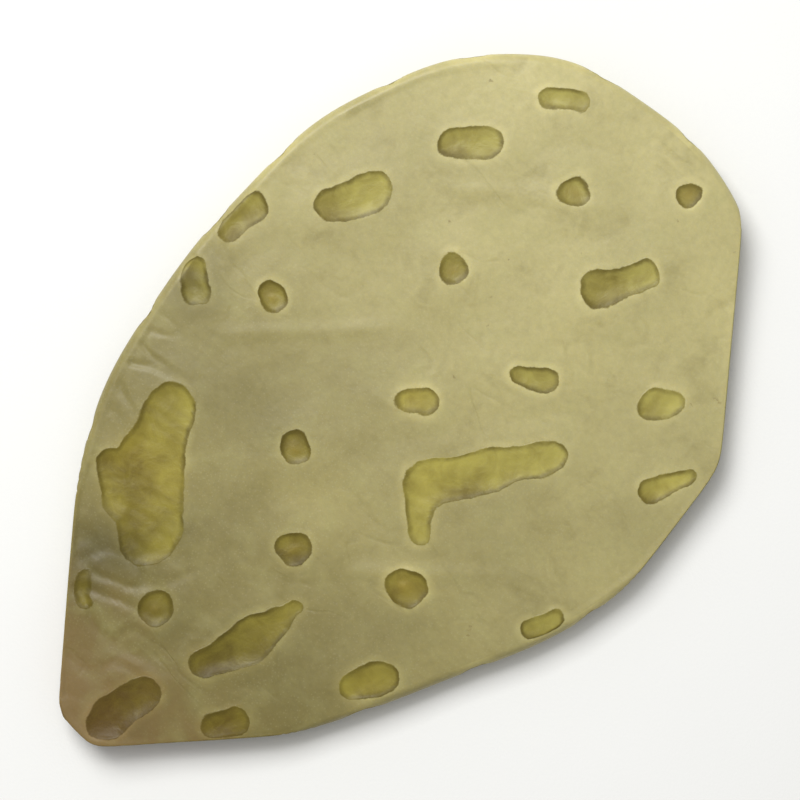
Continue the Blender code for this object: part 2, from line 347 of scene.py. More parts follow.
def cuts(x, y, strokes, face):
    """Distance to the joined outline of all strokes, their floor's depth and the stubs there."""
    x, y = bent(x, y, face)
    near, weights, depths, stubs = 0, [], [], []
    for stroke in strokes:
        distance, along, beside = stroke_place(x, y, stroke)
        depth, stub = stroke_depth(stroke, distance, along, beside)
        near = near + np.exp(-distance / JOIN)
        weights.append(np.exp(-distance / FLOOR_JOIN))
        depths.append(depth)
        stubs.append(stub)
    total = np.sum(weights, axis=0)
    blend = [np.sum(np.multiply(weights, part), axis=0) / total for part in (depths, stubs)]
    return -JOIN * np.log(near), *blend


first_pit = [np.array([value]) for value in UPPER_PITS[0][:2]]
first_depth = cuts(*first_pit, UPPER, UPPER_FACE)[1]
print("the first pit's floor is", round(first_depth.item(), 2), "mm down")

# %% [markdown]
# ## The relief of a face
#
# Each cushion sits on a low swelling, so a cut has raised skin round it. The skin shrank less than
# the flesh in the brine, which leaves a thin curled lip along parts of the outline. The blade goes
# in and comes out at a low angle, so a cut is a scoop: a small step where the skin ends, then a
# gentle slope down to its floor.

# %% Height that the cuts add to the smooth face
STEP_WIDTH = 0.65
STEP_SHARE = 0.3  # of the depth
SCOOP_WIDTH = 3.2
STUB_HEIGHT = 0.42
LIP_HEIGHT = 0.1
LIP_WIDTH = 0.55
LIP_PART_SIZE = 5.0  # the lip comes and goes over this length
LIP_PARTS = (-0.35, 0.45)  # noise values between which it rises
SWELLING_HEIGHT = 0.34
SWELLING_REACH = 6.0
SWELLING_MEAN = 0.12  # taken off everywhere, so that the face keeps the solid's height
FLOOR_UNEVENNESS = 0.07
FLOOR_LUMP_SIZE = 2.6
LIP_LAYER, FLOOR_LAYER = 41, 43


def smooth(low, high, value):
    share = np.clip((value - low) / (high - low), 0, 1)
    return share * share * (3 - 2 * share)


def cut_relief(x, y, face, distance, floor_depth, stub):
    """The height that the swelling, the lip and the recess add."""
    outside = np.maximum(distance, 0)
    swelling = SWELLING_HEIGHT * np.exp(-((outside / SWELLING_REACH) ** 2)) - SWELLING_MEAN
    curl = smooth(*LIP_PARTS, rumple(x, y, LIP_PART_SIZE, face + LIP_LAYER))
    lip = LIP_HEIGHT * curl * np.exp(-((distance / LIP_WIDTH) ** 2))
    inside = smooth(0, SCOOP_WIDTH, -distance)
    uneven = FLOOR_UNEVENNESS * rumple(x, y, FLOOR_LUMP_SIZE, face + FLOOR_LAYER) * inside
    scoop = STEP_SHARE * smooth(0, STEP_WIDTH, -distance) + (1 - STEP_SHARE) * inside
    recess = floor_depth * scoop - STUB_HEIGHT * stub * inside + uneven
    return swelling + lip - recess


print("beside a cut the skin stands", round(SWELLING_HEIGHT - SWELLING_MEAN, 2), "mm proud")

# %% [markdown]
# Away from the cuts the face isn't flat either. The brined flesh is limp, so it has broad low
# waves and a few long soft folds where it was bent. Beside the stem end and at the left margin the
# skin has gone slack and creased.

# %% Waves and creases
FACE_WAVES = ((38.0, 0.38), (14.0, 0.17), (5.0, 0.05))  # size, height
SLACK_PLACES = ((-17.0, -66.0, 17.0), (-52.0, -27.0, 11.0))  # x, y, reach
CREASE_GAP = 5.0
CREASE_AXES = ((0.45, 0.2), (-0.3, 1.0))  # stretch the noise, so that creases run side by side
CREASE_WIDTH = 0.28  # as a noise value
CREASE_DEPTH = 0.45
FOLDS = ((11.0, -30.0, 50.0, 9.0), (-33.0, 47.0, 6.0, 77.0), (-44.0, -13.0, -12.0, 24.0))
FOLD_HEIGHT = 0.24
FOLD_WIDTH = 1.8
FOLD_BEND_SIZE = 17.0
FOLD_BEND = 1.6
FOLD_FADE = 0.25  # of a fold's length, at each end
WAVE_LAYERS, CREASE_LAYER, FOLD_LAYER = 21, 31, 37


def fold_relief(x, y, face):
    """Long low ridges that wander a little and fade out at both ends."""
    relief = 0
    for x0, y0, x1, y1 in FOLDS:
        length = math.hypot(x1 - x0, y1 - y0)
        way_x, way_y = (x1 - x0) / length, (y1 - y0) / length
        along = ((x - x0) * way_x + (y - y0) * way_y) / length
        bend = FOLD_BEND * rumple(x, y, FOLD_BEND_SIZE, face + FOLD_LAYER)
        beside = (x - x0) * way_y - (y - y0) * way_x + bend
        ends = smooth(0, FOLD_FADE, along) * smooth(1, 1 - FOLD_FADE, along)
        relief = relief + FOLD_HEIGHT * ends * np.exp(-((beside / FOLD_WIDTH) ** 2))
    return relief


def slack_relief(x, y, face):
    relief = 0
    for layer, (size, height) in enumerate(FACE_WAVES):
        relief = relief + height * rumple(x, y, size, face + WAVE_LAYERS + layer)
    slack = 0
    for place_x, place_y, reach in SLACK_PLACES:
        slack = slack + np.exp(-((np.hypot(x - place_x, y - place_y) / reach) ** 2))
    stretched = [ax * x + ay * y for ax, ay in CREASE_AXES]
    ridge = np.abs(rumple(*stretched, CREASE_GAP, face + CREASE_LAYER))
    relief = relief - CREASE_DEPTH * slack * (1 - smooth(0, CREASE_WIDTH, ridge))
    return relief + fold_relief(x, y, face)


print(len(SLACK_PLACES), "slack places and", len(FOLDS), "long folds")

# %% [markdown]
# ## The points of a face
#
# A grid of squares has no bad spots, but a pad is round. Folding the square so that its rings
# become circles keeps every cell close to a square, with no pole in the middle. The grid has more
# cells along the pad than across it. Points near a cut are then drawn towards its outline, so that
# the narrow wall and lip get several points where an even grid would give them one.

# %% A grid folded onto the pad
CELLS_ACROSS = 168
CELLS_ALONG = 252
GATHER_REACH = 2.4
GATHER_SHARE = 0.4  # spacing left at the outline, as a share of the grid's
SMOOTHING_ROUNDS = 2  # keeps neighbouring points from crossing where two outlines pull them
EDGE_STEPS = 16
TRIM_EDGE_RADIUS = 0.45
SLOPE_STEP = 0.2  # how far apart the distance is measured to find its slope


def folded_grid():
    """A square grid's points as shares of the pad's radius, and their directions."""
    across = np.linspace(-1, 1, CELLS_ACROSS + 1)
    along = np.linspace(-1, 1, CELLS_ALONG + 1)
    a, b = np.meshgrid(across, along, indexing="ij")
    wide = np.abs(a) > np.abs(b)
    ring = np.where(wide, a, b)
    safe = np.where(ring == 0, 1, ring)
    turn = np.where(wide, math.pi / 4 * b / safe, math.pi / 2 - math.pi / 4 * a / safe)
    x, y = ring * np.cos(turn), ring * np.sin(turn)
    return np.hypot(x, y), np.arctan2(y, x)


def edge_reach(angle, rim_half):
    """How far inside the margin a face ends and the edge's curve begins."""
    return np.maximum(rim_half - taken_off(angle), TRIM_EDGE_RADIUS)


def averaged(field):
    """Each value of a grid, mixed with those of its four neighbours."""
    wide = np.pad(field, 1, mode="edge")
    return (4 * field + wide[:-2, 1:-1] + wide[2:, 1:-1] + wide[1:-1, :-2] + wide[1:-1, 2:]) / 8


def gathered(x, y, strokes, face):
    """The points drawn towards the cuts' outlines."""
    distance = cuts(x, y, strokes, face)[0]
    slope_x = (cuts(x + SLOPE_STEP, y, strokes, face)[0] - distance) / SLOPE_STEP
    slope_y = (cuts(x, y + SLOPE_STEP, strokes, face)[0] - distance) / SLOPE_STEP
    share = np.clip(np.abs(distance) / GATHER_REACH, 0, 1)
    wanted = distance * (GATHER_SHARE + (1 - GATHER_SHARE) * share**2)
    move = np.where(share < 1, wanted - distance, 0)
    move_x, move_y = move * slope_x, move * slope_y
    for _ in range(SMOOTHING_ROUNDS):
        move_x, move_y = averaged(move_x), averaged(move_y)
    return x + move_x, y + move_y


share, angle = folded_grid()
reach = margin_radius(angle)
rim_half = half_thickness(reach * np.cos(angle), reach * np.sin(angle))
inner = share * (reach - edge_reach(angle, rim_half))
grid_x, grid_y = inner * np.cos(angle), inner * np.sin(angle)
print("a cell is about", round(PAD_WIDTH / CELLS_ACROSS, 2), "mm across")

# %% [markdown]
# The outermost ring of each face has to stay where the edge meets it, so the gathering fades out
# there. The lower face is pressed against the table: a soft limit keeps it from passing through,
# and rounds the border of the flat patch.

# %% Heights of both faces
TABLE_SOFTNESS = 0.25
GATHER_FADE = 0.96  # share of the radius where the gathering starts to fade
RELIEF_FADE = 0.985  # and where the waves and creases do


def face_points(side, strokes, face):
    """x, y, z, cut distance, floor depth and stub; side is 1 for the upper face, -1 for the lower."""
    x, y = gathered(grid_x, grid_y, strokes, face)
    keep = smooth(1, GATHER_FADE, share)
    x, y = grid_x + (x - grid_x) * keep, grid_y + (y - grid_y) * keep
    fade = smooth(1, RELIEF_FADE, share)
    distance, floor_depth, stub = cuts(x, y, strokes, face)
    relief = cut_relief(x, y, face, distance, floor_depth, stub)
    relief = relief + slack_relief(x, y, face) * fade
    z = middle_height(x, y) + side * (half_thickness(x, y) + relief)
    z = (z + np.sqrt(z**2 + TABLE_SOFTNESS**2)) / 2
    return x, y, z, distance, floor_depth, stub


upper_face = face_points(1, UPPER, UPPER_FACE)
lower_face = face_points(-1, LOWER, LOWER_FACE)
for name, points in (("upper", upper_face), ("lower", lower_face)):
    print(name, "face is", round(points[2].min(), 2), "to", round(points[2].max(), 2), "mm high")

# %% [markdown]
# ## The edge
#
# Where the pad's own margin is left, the skin wraps round it in a half circle. Where a knife took a
# strip off, the edge is a flat face of bare flesh, which has drawn back a little between the two
# skins. Both are rows of points between the two faces: a bend runs from 90 to -90 degrees, and its
# cosine says how far the grown edge stood out there. The knife's plane limits how far it may: a
# shallow trim takes only the roundest part off, and its strip of flesh tapers to a point.

# %% The border of the faces
def square_rim():
    """Grid places round the border, in order, anticlockwise."""
    m, n = CELLS_ACROSS, CELLS_ALONG
    sides = (
        [(i, 0) for i in range(m)],
        [(m, j) for j in range(n)],
        [(m - i, n) for i in range(m)],
        [(0, n - j) for j in range(n)],
    )
    return [place for side in sides for place in side]


rim = np.array(square_rim()).T
rim_angle = angle[rim[0], rim[1]]
rim_edge_half = rim_half[rim[0], rim[1]]
rim_reach = edge_reach(rim_angle, rim_edge_half)
rim_top = np.stack([part[rim[0], rim[1]] for part in upper_face[:3]])
rim_bottom = np.stack([part[rim[0], rim[1]] for part in lower_face[:3]])
rim_way = np.stack([np.cos(rim_angle), np.sin(rim_angle), np.zeros_like(rim_angle)])
rim_run = np.cumsum(np.hypot(*(rim_top - np.roll(rim_top, 1, axis=1))[:2]))
print("the margin is", round(rim_run[-1]), "mm long")

# %% [markdown]
# The margin carries spine cushions too, about an inch apart. Each one that the straight trims left
# was shaved off with a single flat stroke, which leaves an oval of flesh along the edge.

# %% Shaved cushions along the grown margin
EDGE_CUSHION_GAP = 24.0
EDGE_CUSHION_SCATTER = 3.0
EDGE_CUT_LENGTH = (3.4, 5.6)  # half of it
EDGE_CUT_HEIGHT = 1.65  # half of it
EDGE_CUT_DEPTH = 0.45
EDGE_CUT_BEND_SIZE = 2.0
EDGE_CUT_BEND = 0.25
EDGE_LAYER = 93
EDGE_SEED = 5

draw = np.random.RandomState(EDGE_SEED)
edge_cuts = []
for start in np.arange(EDGE_CUSHION_GAP / 2, rim_run[-1], EDGE_CUSHION_GAP):
    spot = start + draw.uniform(-EDGE_CUSHION_SCATTER, EDGE_CUSHION_SCATTER)
    length = draw.uniform(*EDGE_CUT_LENGTH)
    taken_there = np.interp([spot - length, spot, spot + length], rim_run, taken_off(rim_angle))
    if taken_there.max() < EDGE_CUT_DEPTH:
        edge_cuts.append((spot, length))
print(len(edge_cuts), "shaved cushions along the margin")


def edge_cut_distance(height):
    """Distance to the nearest oval, at a height above the middle of the edge."""
    nearest = np.full_like(rim_run, EDGE_CUSHION_GAP)
    for spot, length in edge_cuts:
        oval = np.hypot((rim_run - spot) / length, height / EDGE_CUT_HEIGHT)
        nearest = np.minimum(nearest, (oval - 1) * EDGE_CUT_HEIGHT)
    return nearest + EDGE_CUT_BEND * rumple(rim_run, height, EDGE_CUT_BEND_SIZE, EDGE_LAYER)


# %% [markdown]
# Each row's place across the edge is the sine of its bend: 1 at the upper face, -1 at the lower
# one. The cuts of the faces run on over the rim for as far as their outlines reach, so the distance
# round the edge is added to them.

# %% The rows round the edge
BLADE_SLANT = 0.5
BLADE_MARKS = 0.14
BLADE_MARK_SIZE = 2.2
BLADE_MARK_STEP = 0.35  # from a row to the next in the noise, so that the marks run along the edge
BLADE_LAYER = 90
FLESH_SHRINK = 0.28
SHRUNK_PART = 0.75  # of the way from the middle of the edge to the skin
BARE_DEPTH = 0.4  # a trim this deep has taken all the skin off
EDGE_CUT_WALL = 0.8
TRIM_ROUNDING = 0.1


def edge_row(step):
    """Points, distance to the nearest cut, place across the edge and depth of the trim there."""
    bend = math.pi / 2 - math.pi * step / EDGE_STEPS
    across, stand = math.sin(bend), abs(math.cos(bend))
    grown = rim_edge_half * stand
    trim_depth = grown - rim_reach
    bare = smooth(0, BARE_DEPTH, trim_depth)
    mark_rows = np.full_like(rim_run, step * BLADE_MARK_STEP)
    marks = BLADE_MARKS * rumple(rim_run, mark_rows, BLADE_MARK_SIZE, BLADE_LAYER)
    shrink = FLESH_SHRINK * smooth(1, SHRUNK_PART, abs(across))
    own_cuts = edge_cut_distance(across * rim_edge_half)
    out = grown - TRIM_ROUNDING * np.log(1 + np.exp(trim_depth / TRIM_ROUNDING))
    out = out + bare * (marks - shrink - BLADE_SLANT * across / 2)
    out = out - (1 - bare) * EDGE_CUT_DEPTH * smooth(0, EDGE_CUT_WALL, -own_cuts)
    middle = (rim_top + rim_bottom) / 2
    row = middle + rim_way * out + (rim_top - middle) * across
    strokes, face = (UPPER, UPPER_FACE) if across > 0 else (LOWER, LOWER_FACE)
    travelled = rim_edge_half * (math.pi / 2 - abs(bend))
    from_face = cuts(row[0], row[1], strokes, face)[0] + travelled
    return row, np.minimum(own_cuts, from_face), np.full_like(rim_run, across), trim_depth


edge_rows = [edge_row(step) for step in range(1, EDGE_STEPS)]
edge_points, edge_distance, across_edge, trim_depth = [np.stack(part) for part in zip(*edge_rows)]
print(len(edge_points), "rows of", rim.shape[1], "points between the faces")

# %% [markdown]
# ## One closed mesh
#
# The faces and the rows are joined into one mesh by listing which points make each quad. A face is
# numbered row by row. The rows of the edge are closed belts, and each is joined to the next.

# %% Quads of the faces and the edge
def numbered(first):
    count = (CELLS_ACROSS + 1) * (CELLS_ALONG + 1)
    return first + np.arange(count).reshape(CELLS_ACROSS + 1, CELLS_ALONG + 1)


def grid_quads(place, flip):
    corners = [place[:-1, :-1], place[1:, :-1], place[1:, 1:], place[:-1, 1:]]
    return np.stack(corners[::-1] if flip else corners, axis=-1).reshape(-1, 4)


upper_place = numbered(0)
lower_place = numbered(upper_place.size)
row_places = [
    np.arange(rim.shape[1]) + 2 * upper_place.size + number * rim.shape[1]
    for number in range(len(edge_points))
]
belts = [upper_place[rim[0], rim[1]], *row_places, lower_place[rim[0], rim[1]]]
quads = [grid_quads(upper_place, False), grid_quads(lower_place, True)]
for above, below in zip(belts, belts[1:]):
    quads.append(np.stack([above, below, np.roll(below, -1), np.roll(above, -1)], axis=-1))
quads = np.concatenate(quads)
print(len(quads), "quads")

# %% [markdown]
# The points are listed in the order in which they were numbered. Smooth shading hides the cells'
# own edges.

# %% The mesh
points = np.concatenate(
    [np.stack([part.ravel() for part in face[:3]], axis=-1) for face in (upper_face, lower_face)]
    + [row.T for row in edge_points]
)
points[:, :2] += TO_SOLID

pad_mesh = bpy.data.meshes.new("nopal_pad")
pad_mesh.from_pydata((points * MM).tolist(), [], quads.tolist())
pad_mesh.shade_smooth()
pad = bpy.data.objects.new("nopal_pad", pad_mesh)
bpy.context.scene.collection.objects.link(pad)
print("the pad has", len(points), "points and", 2 * len(quads), "triangles")

# %% [markdown]
# Broad pale and dark patches are laid where no noise would put them. Most are the pad's uneven
# colour. Some of the dark ones, such as those beside the stem end, are painted shade of the slack,
# creased skin there. Each is a soft round spot, and a negative number makes it darker.

# %% Pale and dark patches, some of them painted shade
TONE_AND_SHADE_PLACES = (  # x, y, reach and how much paler, on the upper face
    (-1.4, -19.4, 9.0, 0.13),
    (-0.5, 12.5, 4.5, 0.32),
    (14.3, 13.6, 8.0, 0.08),
    (-29.0, -15.5, 10.0, -0.09),
    (-44.0, -21.0, 8.0, -0.07),
    (5.2, -63.0, 12.0, -0.09),
    (20.0, -50.0, 11.0, -0.06),
    (24.0, -38.0, 14.0, -0.1),
    (38.0, 1.0, 9.0, -0.08),
    (-28.0, -37.0, 7.0, 0.18),
    (-37.0, -39.7, 5.0, 0.24),
    (-17.5, -44.0, 4.0, -0.18),
    (9.0, -53.0, 6.0, -0.1),
    (14.0, 1.0, 6.0, 0.13),
    (36.0, -38.0, 5.0, 0.15),
    (51.7, 38.0, 4.5, 0.2),
    (-11.4, -13.4, 4.0, -0.07),
    (-18.4, -13.4, 6.0, -0.1),
    (26.9, -17.8, 5.0, 0.24),
    (4.1, -28.8, 4.0, -0.09),
    (-8.3, -59.4, 4.0, -0.12),
    (-2.6, -59.0, 5.0, -0.12),
    (-22.0, -67.5, 4.0, -0.25),
    (32.7, -23.7, 7.0, -0.09),
    (53.5, -3.0, 8.0, -0.1),
    (6.5, -80.5, 4.0, -0.12),
    (-27.0, -60.0, 6.0, -0.38),
    (-19.5, -54.5, 5.0, -0.28),
    (-51.5, -4.0, 6.0, -0.32),
)


# Paleness from the patches; some dark patches are painted shade of creased skin.
def tone_and_shade(x, y):
    paler = 1.0
    for place_x, place_y, reach, change in TONE_AND_SHADE_PLACES:
        paler = paler + change * np.exp(-(((x - place_x) ** 2 + (y - place_y) ** 2) / reach**2))
    return paler


upper_tone_and_shade = tone_and_shade(*upper_face[:2])
print("the patches scale the colour by", upper_tone_and_shade.min().round(2), "to", upper_tone_and_shade.max().round(2))

# %% [markdown]
# Besides its place, each point carries a few numbers for the material: the distance to the nearest
# cut, the cut's depth, how much of a cushion's stub is left, how deep a trim went, the place across
# the edge, how near it is to the stem's cut end, and how pale the pad is there, painted shade
# included. The material reads them as attributes, so that the colours follow the shape exactly.

# %% Numbers for the material
STEM_CORNERS = (0.9, 0.97)  # cosines of the angle from the stem, where its cut end stops


def give_attribute(name, upper, lower, edge):
    values = np.concatenate([np.ravel(upper), np.ravel(lower), np.ravel(edge)])
    layer = pad_mesh.attributes.new(name, "FLOAT", "POINT")
    layer.data.foreach_set("value", values.astype(np.float32))
    print(name, "runs from", values.min().round(2), "to", values.max().round(2))


no_face = np.zeros_like(share)
no_edge = np.zeros_like(across_edge)
stem_facing = smooth(*STEM_CORNERS, np.cos(rim_angle - math.radians(STEM_TRIM[0])))
give_attribute("cut_distance", upper_face[3], lower_face[3], edge_distance)
give_attribute("floor_depth", upper_face[4], lower_face[4], no_edge + EDGE_CUT_DEPTH)
give_attribute("stub", upper_face[5], lower_face[5], no_edge)
give_attribute("trim_depth", no_face - 1, no_face - 1, trim_depth)
give_attribute("across_edge", no_face + 1, no_face - 1, across_edge)
give_attribute("stem_end", no_face, no_face, no_edge + stem_facing)
give_attribute("tone_and_shade", upper_tone_and_shade, no_face + 1, no_edge + 1)

# %% [markdown]
# ## Colours and nodes
#
# Colours are written as the hex values a paint program shows. A renderer works with light, so one
# function turns them to linear. One more function adds a shader node, sets its properties, and
# fills its inputs with a number, a colour or the output of another node. It gives back the one
# output that the next node needs. Blender's names for the kinds of node all start with ShaderNode,
# so the function puts that in front.

# %% Two helpers for materials
def colour(hex_value):
    """An sRGB hex value as a linear colour."""
    channels = [int(hex_value[k : k + 2], 16) / 255 for k in (1, 3, 5)]
    linear = [c / 12.92 if c <= 0.04045 else ((c + 0.055) / 1.055) ** 2.4 for c in channels]
    return (*linear, 1)


def add(tree, kind, output, inputs=None, **settings):
    """Adds a node. Inputs are named or numbered sockets, each with a value or an output to link."""
    node = tree.nodes.new("ShaderNode" + kind)
    for name, value in settings.items():
        setattr(node, name, value)
    for socket, value in (inputs or {}).items():
        if isinstance(value, bpy.types.NodeSocket):
            tree.links.new(value, node.inputs[socket])
        else:
            node.inputs[socket].default_value = value
    return node.outputs[output]


print("the middle grey of a paint program is", round(colour("#808080")[0], 2), "as light")

# %% [markdown]
# ## The skin
#
# The skin is a waxy cuticle, a tenth of a millimetre thick, over green flesh that the brine has
# turned to khaki. Light goes a little way in, so its colour is soft and never even: there are broad
# clouds where the flesh is thicker, smaller mottling, and fine specks. Each is a noise whose scale
# comes from its size in millimetres.

# %% Three noises for the skin
CLOUD_SIZE = 34
MOTTLE_SIZE = 8.5
SPECK_SIZE = 1.6

skin = bpy.data.materials.new("brined_nopal_skin")
skin.use_nodes = True
tree = skin.node_tree
shader = tree.nodes["Principled BSDF"]
place = add(tree, "TexCoord", "Object")


def per(size):
    """Texture scale that makes its features size millimetres wide, as the pad is in metres."""
    return 1 / (size * MM)


clouds = add(
    tree, "TexNoise", "Fac",
    {"Vector": place, "Scale": per(CLOUD_SIZE), "Detail": 2, "Roughness": 0.45},
)
mottle = add(
    tree, "TexNoise", "Fac",
    {"Vector": place, "Scale": per(MOTTLE_SIZE), "Detail": 4, "Roughness": 0.6, "Distortion": 0.5},
)
speckle = add(
    tree, "TexNoise", "Fac",
    {"Vector": place, "Scale": per(SPECK_SIZE), "Detail": 3, "Roughness": 0.7},
)
print("clouds, mottles and specks are", CLOUD_SIZE, MOTTLE_SIZE, SPECK_SIZE, "mm wide")

# %% [markdown]
# The skin is paler towards the tip and darker towards the stem end. The height along the pad sets the
# mix of the two colours, and the clouds are added to it, so that the change from one to the other
# wanders.

# %% Skin at the stem end and at the tip
FACTOR, FIRST, SECOND, MIXED = 0, 6, 7, 2  # sockets of a Mix node that mixes colours
STEM_SIDE_SKIN = colour("#766B39")
TIP_SIDE_SKIN = colour("#B8AF7A")
CLOUD_WANDER = 40 * MM  # how far the clouds move the change from old to young
STEM_SIDE_END = -60 * MM
TIP_SIDE_END = 95 * MM

along_pad = add(tree, "SeparateXYZ", "Y", {"Vector": place})
cloudy = add(
    tree, "Math", "Value", {0: clouds, 1: CLOUD_WANDER, 2: along_pad}, operation="MULTIPLY_ADD"
)
tipward_share = add(
    tree, "MapRange", "Result", {"Value": cloudy, "From Min": STEM_SIDE_END, "From Max": TIP_SIDE_END}
)
khaki = add(
    tree, "Mix", MIXED, {FACTOR: tipward_share, FIRST: STEM_SIDE_SKIN, SECOND: TIP_SIDE_SKIN}, data_type="RGBA"
)
cloud_light = add(
    tree, "MapRange", "Result",
    {"Value": clouds, "From Min": 0.36, "From Max": 0.64, "To Min": 0.93, "To Max": 1.05},
)
clouded = add(tree, "VectorMath", "Vector", {0: khaki, "Scale": cloud_light}, operation="SCALE")
print("the skin turns from old to young over", round((TIP_SIDE_END - STEM_SIDE_END) / MM), "mm")

# %% [markdown]
# Mottling is where the tissue under the skin is looser, and pale, or denser, and dark. One noise
# gives both: its high values lay a pale colour over the skin, its low ones a dark colour. The
# specks only scale the result by a few hundredths.

# %% Mottling and specks
PALE_MOTTLE = colour("#A5A06A")
DARK_MOTTLE = colour("#796F3D")
MOTTLE_SHARE = 0.26

pale_share = add(
    tree, "MapRange", "Result",
    {"Value": mottle, "From Min": 0.48, "From Max": 0.7, "To Max": MOTTLE_SHARE},
)
paled = add(
    tree, "Mix", MIXED, {FACTOR: pale_share, FIRST: clouded, SECOND: PALE_MOTTLE}, data_type="RGBA"
)
dark_share = add(
    tree, "MapRange", "Result",
    {"Value": mottle, "From Min": 0.45, "From Max": 0.28, "To Max": MOTTLE_SHARE},
)
shaded = add(
    tree, "Mix", MIXED, {FACTOR: dark_share, FIRST: paled, SECOND: DARK_MOTTLE}, data_type="RGBA"
)
speck_light = add(
    tree, "MapRange", "Result",
    {"Value": speckle, "From Min": 0.3, "From Max": 0.7, "To Min": 0.94, "To Max": 1.06},
)
speckled = add(tree, "VectorMath", "Vector", {0: shaded, "Scale": speck_light}, operation="SCALE")
print("a mottle takes on up to", MOTTLE_SHARE, "of the pale or the dark colour")

# %% [markdown]
# The pores stand about 0.3 mm apart on the real skin, which is finer than a picture of the whole
# pad can show, so they are drawn at 0.8 mm, as the faintest of pale dots.

# %% Pores
PORE_GAP = 0.8
PORE_COLOUR = colour("#C9C39A")

pore = add(
    tree, "TexVoronoi", "Distance", {"Vector": place, "Scale": per(PORE_GAP), "Randomness": 0.8}
)
pore_share = add(
    tree, "MapRange", "Result",
    {"Value": pore, "From Min": 0.32, "From Max": 0.1, "To Max": 0.1},
    interpolation_type="SMOOTHSTEP",
)
pored = add(
    tree, "Mix", MIXED, {FACTOR: pore_share, FIRST: speckled, SECOND: PORE_COLOUR}, data_type="RGBA"
)
print("the pores stand", PORE_GAP, "mm apart")

# %% [markdown]
# The wrinkles are where a broad noise crosses its middle value, which gives long wandering lines. The
# noise is stretched one way, because limp skin gives in folds that lie side by side, and a second
# noise lets them through in some places only. Along them the colour is darkened a little: painted
# shade in the creases.

# %% Wrinkles, with painted shade along them
WRINKLE_SIZE = 11
WRINKLE_TURN = -0.9  # radians; the way that the wrinkles run
WRINKLE_STRETCH = 0.5
WRINKLE_PATCH_SIZE = 19
# The wrinkles' darker colour is painted shade in the creases.
WRINKLE_SHADE_COLOUR = colour("#6F6638")
WRINKLE_SHADE_SHARE = 0.07

stretched = add(
    tree, "Mapping", "Vector",
    {"Vector": place, "Rotation": (0, 0, WRINKLE_TURN), "Scale": (WRINKLE_STRETCH, 1, 1)},
)
folds = add(
    tree, "TexNoise", "Fac",
    {
        "Vector": stretched, "Scale": per(WRINKLE_SIZE), "Detail": 2, "Roughness": 0.45,
        "Distortion": 0.5,
    },
)
from_middle = add(tree, "Math", "Value", {0: folds, 1: 0.5}, operation="SUBTRACT")
fold_gap = add(tree, "Math", "Value", {0: from_middle}, operation="ABSOLUTE")
fold_line = add(
    tree, "MapRange", "Result",
    {"Value": fold_gap, "From Min": 0.05, "From Max": 0.0},
    interpolation_type="SMOOTHSTEP",
)
fold_place = add(
    tree, "TexNoise", "Fac",
    {"Vector": place, "Scale": per(WRINKLE_PATCH_SIZE), "Detail": 2, "Roughness": 0.5},
)
fold_mask = add(
    tree, "MapRange", "Result",
    {"Value": fold_place, "From Min": 0.48, "From Max": 0.62},
    interpolation_type="SMOOTHSTEP",
)
wrinkle = add(tree, "Math", "Value", {0: fold_line, 1: fold_mask}, operation="MULTIPLY")
wrinkle_shade_share = add(tree, "Math", "Value", {0: wrinkle, 1: WRINKLE_SHADE_SHARE}, operation="MULTIPLY")
wrinkle_shaded = add(
    tree, "Mix", MIXED,
    {FACTOR: wrinkle_shade_share, FIRST: pored, SECOND: WRINKLE_SHADE_COLOUR},
    data_type="RGBA",
)
print("the skin has", len(tree.nodes), "nodes so far")

# %% [markdown]
# Near the cut stem the flesh has browned, as a cut apple does, and the stain fades upwards. The
# distance along the pad sets how strong it is, and noise breaks up its border. A few brown flecks
# are healed scratches.

# %% Stem stain and flecks
STAIN_COLOUR = colour("#7E6640")
STAIN_WANDER = 35 * MM
STAIN_TOP = -42 * MM
STAIN_FULL = -75 * MM
FLECK_SIZE = 4.5
FLECK_COLOUR = colour("#6E5B30")

stain_edge = add(
    tree, "Math", "Value", {0: mottle, 1: STAIN_WANDER, 2: along_pad}, operation="MULTIPLY_ADD"
)
stain_share = add(
    tree, "MapRange", "Result",
    {"Value": stain_edge, "From Min": STAIN_TOP, "From Max": STAIN_FULL, "To Max": 0.75},
    interpolation_type="SMOOTHSTEP",
)
stained = add(
    tree, "Mix", MIXED,
    {FACTOR: stain_share, FIRST: wrinkle_shaded, SECOND: STAIN_COLOUR},
    data_type="RGBA",
)
fleck = add(
    tree, "TexNoise", "Fac",
    {"Vector": place, "Scale": per(FLECK_SIZE), "Detail": 5, "Roughness": 0.65},
)
fleck_share = add(
    tree, "MapRange", "Result", {"Value": fleck, "From Min": 0.69, "From Max": 0.73, "To Max": 0.5}
)
skin_colour = add(
    tree, "Mix", MIXED,
    {FACTOR: fleck_share, FIRST: stained, SECOND: FLECK_COLOUR},
    data_type="RGBA",
)
print("the stain fades over", round((STAIN_TOP - STAIN_FULL) / MM), "mm")

# %% [markdown]
# ## The cut flesh
#
# Skin and flesh meet at a cut's outline, and at a trimmed edge where the blade had taken all the
# skin off. The mesh brings both as attributes. The specks are added to them before the change from
# one to the other, so that its line is slightly ragged.

# %% Where flesh is bare
RAGGED_CUT = 0.7  # millimetres that the specks move the two lines
RAGGED_TRIM = 0.3

